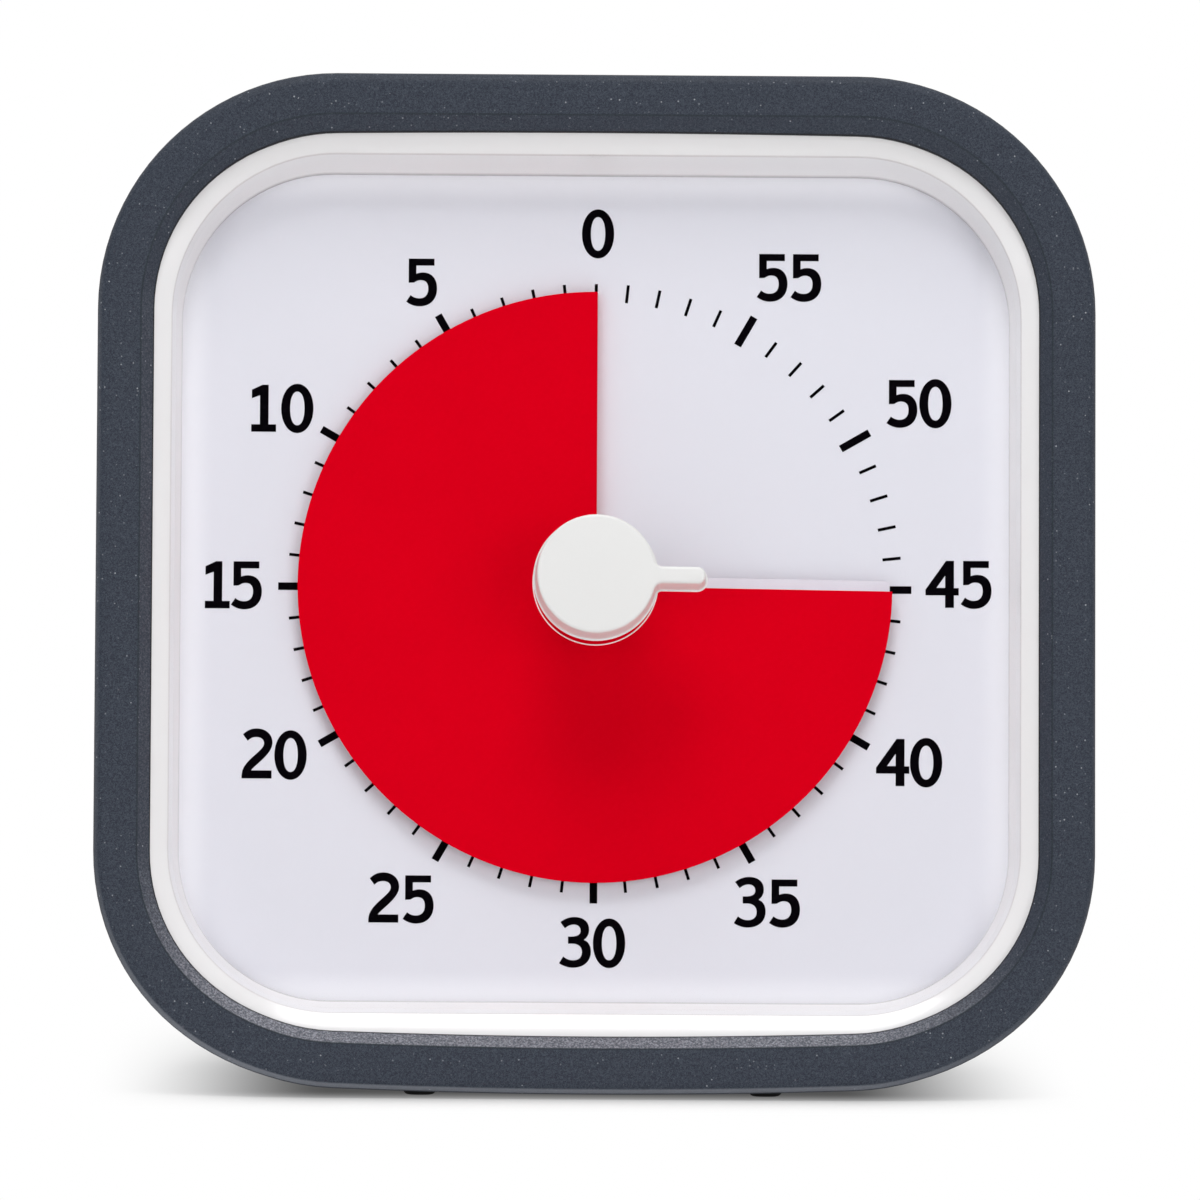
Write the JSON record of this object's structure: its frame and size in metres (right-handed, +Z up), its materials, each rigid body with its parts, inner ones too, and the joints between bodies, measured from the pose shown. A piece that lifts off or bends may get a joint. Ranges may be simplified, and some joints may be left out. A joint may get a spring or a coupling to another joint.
{
  "type": "visual countdown timer",
  "caption": "Square desk countdown timer with rounded corners, a red disc that winds behind the dial, a centre knob with a pointer and a soft sleeve.",
  "frame": {"origin": "centre of the footprint, on the surface that the feet stand on", "axes": "+Z up, -Y out of the front, +X to the right seen from the front; the face leans back 9 degrees"},
  "size_m": [0.092, 0.0562, 0.0937],
  "materials": {
    "sleeve": "satin silicone with a fine speckle",
    "white_gloss": "polished",
    "case_white": "fine satin",
    "lens_clear": "polished, water clear",
    "dial_card": "matt printed sheet",
    "red_film": "glossy film",
    "inner_plastic": "moulded",
    "dark_plastic": "moulded",
    "wheel_plastic": "acetal",
    "steel": "bright",
    "magnet": "sintered",
    "copper": "enamelled copper wire",
    "board_green": "solder mask",
    "black_plastic": "moulded",
    "cell_wrap": "plain shrink sleeve",
    "foot_rubber": "matt"
  },
  "bodies": {
    "case": {"silicone_cover": "sleeve", "front_frame": "white_gloss", "lens": "lens_clear", "dial": "dial_card", "stator": "steel", "coil": "copper", "chassis": "inner_plastic", "movement_cover": "dark_plastic", "movement_screws": "steel", "rear_case": "case_white", "case_screws": "steel", "battery": "cell_wrap", "plus_contact": "steel", "spring_contact": "steel", "circuit_board": "board_green", "board_screws": "steel", "chip": "black_plastic", "crystal": "steel", "buzzer": "black_plastic", "switch_body": "black_plastic", "feet": "foot_rubber"},
    "knob": {"knob": "white_gloss", "knob_shaft": "steel", "disc_hub": "inner_plastic", "time_disc": "red_film", "setting_wheel": "wheel_plastic", "friction_washer": "steel", "retaining_ring": "steel"},
    "third_wheel": {"third_wheel": "wheel_plastic"},
    "second_wheel": {"second_wheel": "wheel_plastic"},
    "rotor": {"rotor": "magnet"},
    "battery_door": {"battery_door": "case_white"},
    "switch_slider": {"switch_slider": "black_plastic"}
  },
  "joints": [
    {"name": "knob_turn", "type": "hinge", "parent": "case", "child": "knob", "pos_m": [0, -0.01453, 0.04634], "axis": [0, -0.9877, 0.1564], "range_deg": [-270, 90], "deforming": ["time_disc"]},
    {"name": "third_wheel_spin", "type": "hinge", "parent": "case", "child": "third_wheel", "pos_m": [-0.01061, -0.01357, 0.05239], "axis": [0, -0.9877, 0.1564], "continuous": true},
    {"name": "second_wheel_spin", "type": "hinge", "parent": "case", "child": "second_wheel", "pos_m": [-0.00536, -0.01214, 0.06137], "axis": [0, -0.9877, 0.1564], "continuous": true},
    {"name": "rotor_spin", "type": "hinge", "parent": "case", "child": "rotor", "pos_m": [0.00184, -0.01214, 0.06137], "axis": [0, -0.9877, 0.1564], "continuous": true},
    {"name": "battery_door_tilt", "type": "hinge", "parent": "case", "child": "battery_door", "pos_m": [0, 0.01533, 0.01427], "axis": [-1, 0, 0], "range_deg": [0, 45]},
    {"name": "sound_switch_slide", "type": "slide", "parent": "case", "child": "switch_slider", "axis": [1, 0, 0], "range_m": [0, 0.003]}
  ],
  "couplings": [
    {"joint": "third_wheel_spin", "follows": "knob_turn", "ratio": -6},
    {"joint": "second_wheel_spin", "follows": "knob_turn", "ratio": 30},
    {"joint": "rotor_spin", "follows": "knob_turn", "ratio": -90}
  ]
}
